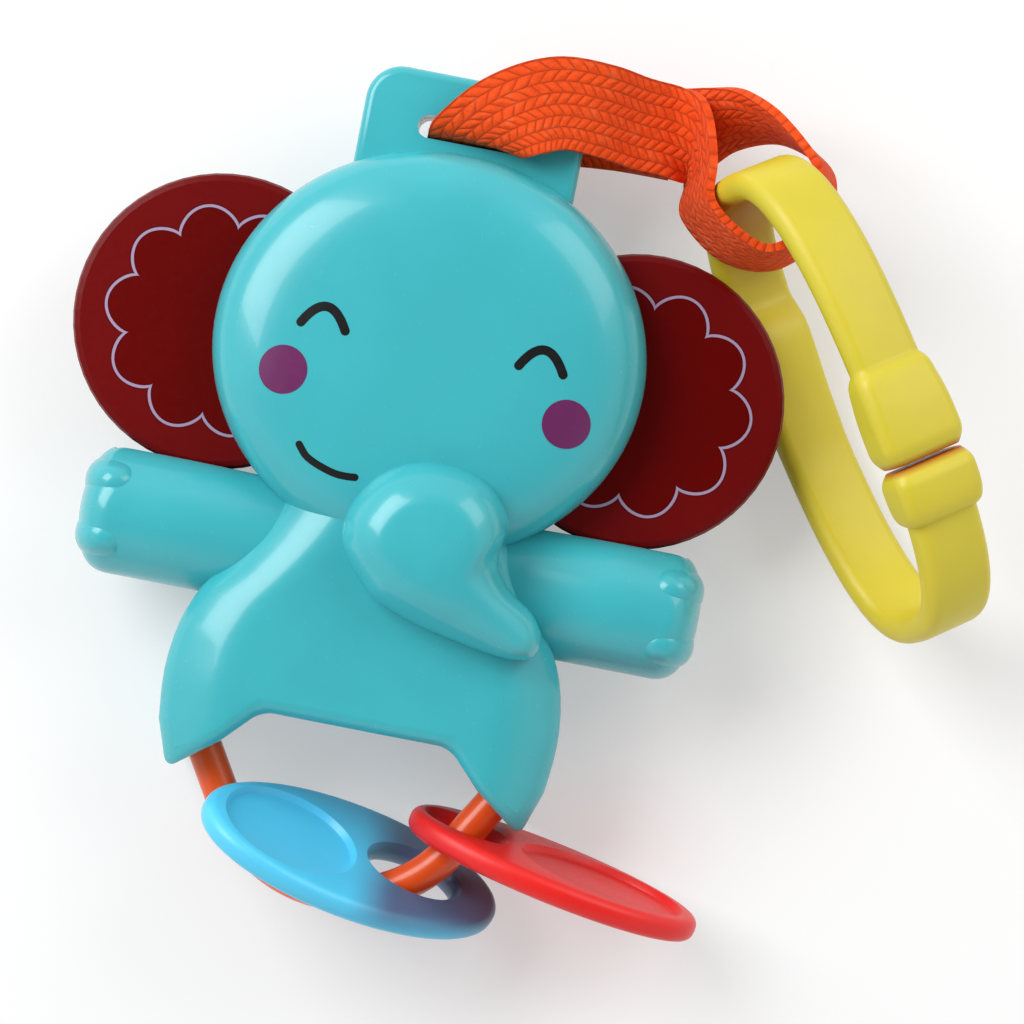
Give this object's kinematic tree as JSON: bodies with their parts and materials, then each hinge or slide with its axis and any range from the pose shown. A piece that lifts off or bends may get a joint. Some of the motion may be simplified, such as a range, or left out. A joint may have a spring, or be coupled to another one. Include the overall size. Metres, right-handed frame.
{
  "type": "rattle teether",
  "caption": "Elephant-shaped hand rattle with swinging click ears, soft leaf teethers on a bar, a rattle cup and a webbing strap with a snap link.",
  "frame": {"origin": "on the flat back, behind the middle of the head", "axes": "+Z out of the face, +Y towards the strap tab, +X towards the link"},
  "size_m": [0.1455, 0.1371, 0.0425],
  "materials": {
    "teal_plastic": "gloss moulded",
    "ear_plastic": "gloss translucent, printed line",
    "orange_plastic": "satin",
    "blue_soft": "satin soft",
    "red_soft": "satin soft",
    "yellow_plastic": "satin",
    "webbing": "woven",
    "natural_plastic": "satin",
    "bead_plastic": "satin",
    "screw_steel": "bright"
  },
  "bodies": {
    "toy": {"front_shell": "teal_plastic", "rear_shell": "teal_plastic", "trunk": "teal_plastic", "click_spring": "natural_plastic", "rattle_cup": "natural_plastic", "rattle_lid": "natural_plastic", "teether_bar": "orange_plastic", "screw_1": "screw_steel", "screw_2": "screw_steel", "screw_3": "screw_steel", "screw_4": "screw_steel", "screw_5": "screw_steel"},
    "ear_left": {"ear_left": "ear_plastic"},
    "ear_right": {"ear_right": "ear_plastic"},
    "blue_leaf": {"blue_teether": "blue_soft"},
    "red_leaf": {"red_teether": "red_soft"},
    "strap": {"strap": "webbing"},
    "link": {"link_ring": "yellow_plastic"},
    "body_bead_1": {"bead_1": "bead_plastic"},
    "body_bead_2": {"bead_2": "bead_plastic"},
    "body_bead_3": {"bead_3": "bead_plastic"},
    "body_bead_4": {"bead_4": "bead_plastic"},
    "body_bead_5": {"bead_5": "bead_plastic"},
    "body_bead_6": {"bead_6": "bead_plastic"}
  },
  "joints": [
    {"name": "ear_left_swing", "type": "hinge", "parent": "toy", "child": "ear_left", "pos_m": [-0.0145, -0.001, 0.015], "axis": [0, 0, 1], "range_deg": [-8, 8]},
    {"name": "ear_right_swing", "type": "hinge", "parent": "toy", "child": "ear_right", "pos_m": [0.0145, -0.001, 0.015], "axis": [0, 0, 1], "range_deg": [-8, 8]},
    {"name": "blue_swing", "type": "hinge", "parent": "toy", "child": "blue_leaf", "pos_m": [0.0122, -0.08028, 0.015], "axis": [0.8039, 0.5948, 0], "range_deg": [0, 20]},
    {"name": "red_swing", "type": "hinge", "parent": "toy", "child": "red_leaf", "pos_m": [0.019, -0.07199, 0.015], "axis": [-0.515, -0.8572, 0], "range_deg": [0, 30]},
    {"name": "strap_swing", "type": "hinge", "parent": "toy", "child": "strap", "pos_m": [0.0345, 0.0405, 0.015], "axis": [0, 0, 1], "range_deg": [0, 50], "deforming": ["strap"]},
    {"name": "link_turn", "type": "hinge", "parent": "strap", "child": "link", "pos_m": [0.05326, 0.02101, 0.02106], "axis": [-0.7818, -0.5214, 0.342], "range_deg": [0, 10], "deforming": ["strap"]},
    {"name": "bead_1_bounce", "type": "slide", "parent": "toy", "child": "body_bead_1", "axis": [0, 0, 1], "range_m": [0, 0.0135]},
    {"name": "bead_2_bounce", "type": "slide", "parent": "toy", "child": "body_bead_2", "axis": [0, 0, 1], "range_m": [0, 0.0135]},
    {"name": "bead_3_bounce", "type": "slide", "parent": "toy", "child": "body_bead_3", "axis": [0, 0, 1], "range_m": [0, 0.0135]},
    {"name": "bead_4_bounce", "type": "slide", "parent": "toy", "child": "body_bead_4", "axis": [0, 0, 1], "range_m": [0, 0.0135]},
    {"name": "bead_5_bounce", "type": "slide", "parent": "toy", "child": "body_bead_5", "axis": [0, 0, 1], "range_m": [0, 0.0135]},
    {"name": "bead_6_bounce", "type": "slide", "parent": "toy", "child": "body_bead_6", "axis": [0, 0, 1], "range_m": [0, 0.0135]}
  ]
}
